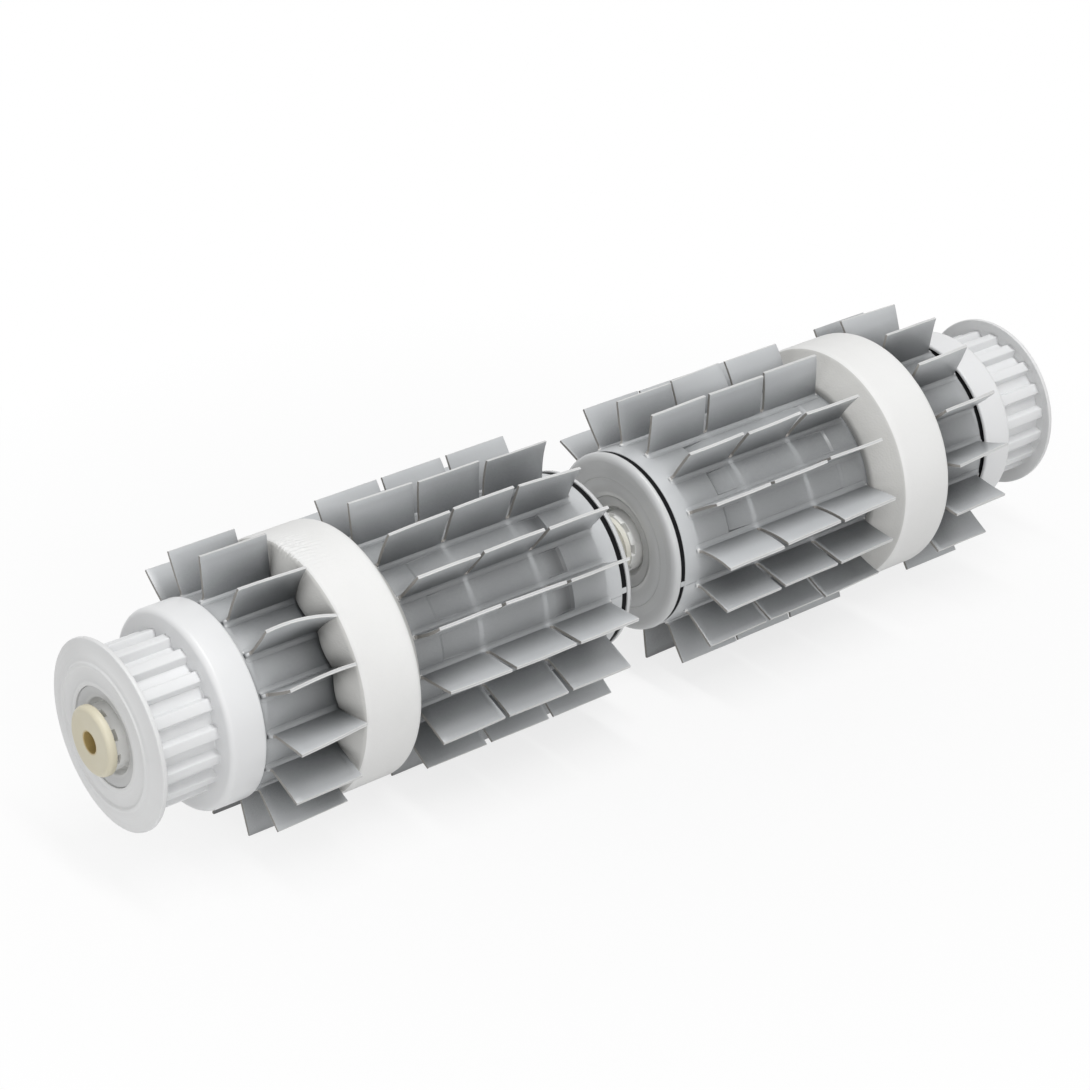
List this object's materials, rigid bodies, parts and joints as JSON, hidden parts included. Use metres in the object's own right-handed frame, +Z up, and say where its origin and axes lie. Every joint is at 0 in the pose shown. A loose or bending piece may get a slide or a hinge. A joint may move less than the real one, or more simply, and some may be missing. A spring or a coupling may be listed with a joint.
{
  "type": "pool cleaner brush roller",
  "caption": "Brush roller of a pool cleaning robot: finned sleeves and foam climbing rings on coaxial tubes, with toothed track pulleys and pin bushes at the ends.",
  "frame": {"origin": "on the spin axis, in the middle between the two halves", "axes": "X along the spin axis, +Z up with the roller lying on its fins, -Y towards the viewer"},
  "size_m": [0.4202, 0.0994, 0.0989],
  "materials": {
    "tube_black": "black moulded tube",
    "brush_grey": "soft moulded sheet, satin",
    "foam_white": "fine open-cell foam, matt",
    "washer_tan": "thin fibre washer",
    "cap_grey": "gloss moulding",
    "hub_white": "semi-gloss moulding",
    "pulley_white": "waxy gloss moulding",
    "flange_white": "waxy moulding with turned lines",
    "bush_cream": "satin bearing plastic"
  },
  "bodies": {
    "left_roller": {"left_core_tube": "tube_black", "left_long_brush_sleeve": "brush_grey", "left_short_brush_sleeve": "brush_grey", "left_foam_ring": "foam_white", "left_seat_washer": "washer_tan", "left_middle_cap": "cap_grey", "left_inner_hub": "hub_white", "left_drive_pulley": "pulley_white", "left_pulley_flange": "flange_white", "left_outer_hub": "hub_white"},
    "left_end_bush": {"left_end_bush": "bush_cream"},
    "right_roller": {"right_core_tube": "tube_black", "right_long_brush_sleeve": "brush_grey", "right_short_brush_sleeve": "brush_grey", "right_foam_ring": "foam_white", "right_seat_washer": "washer_tan", "right_middle_cap": "cap_grey", "right_inner_hub": "hub_white", "right_drive_pulley": "pulley_white", "right_pulley_flange": "flange_white", "right_outer_hub": "hub_white"},
    "right_end_bush": {"right_end_bush": "bush_cream"},
    "centre_joiner": {"centre_joiner": "bush_cream"}
  },
  "joints": [
    {"name": "joiner_in_left_half", "type": "hinge", "parent": "left_roller", "child": "centre_joiner", "pos_m": [0, 0, 0], "axis": [1, 0, 0], "continuous": true},
    {"name": "right_half_spin", "type": "hinge", "parent": "centre_joiner", "child": "right_roller", "pos_m": [0, 0, 0], "axis": [1, 0, 0], "continuous": true},
    {"name": "left_bush_spin", "type": "hinge", "parent": "left_roller", "child": "left_end_bush", "pos_m": [0, 0, 0], "axis": [1, 0, 0], "continuous": true},
    {"name": "right_bush_spin", "type": "hinge", "parent": "right_roller", "child": "right_end_bush", "pos_m": [0, 0, 0], "axis": [1, 0, 0], "continuous": true}
  ]
}
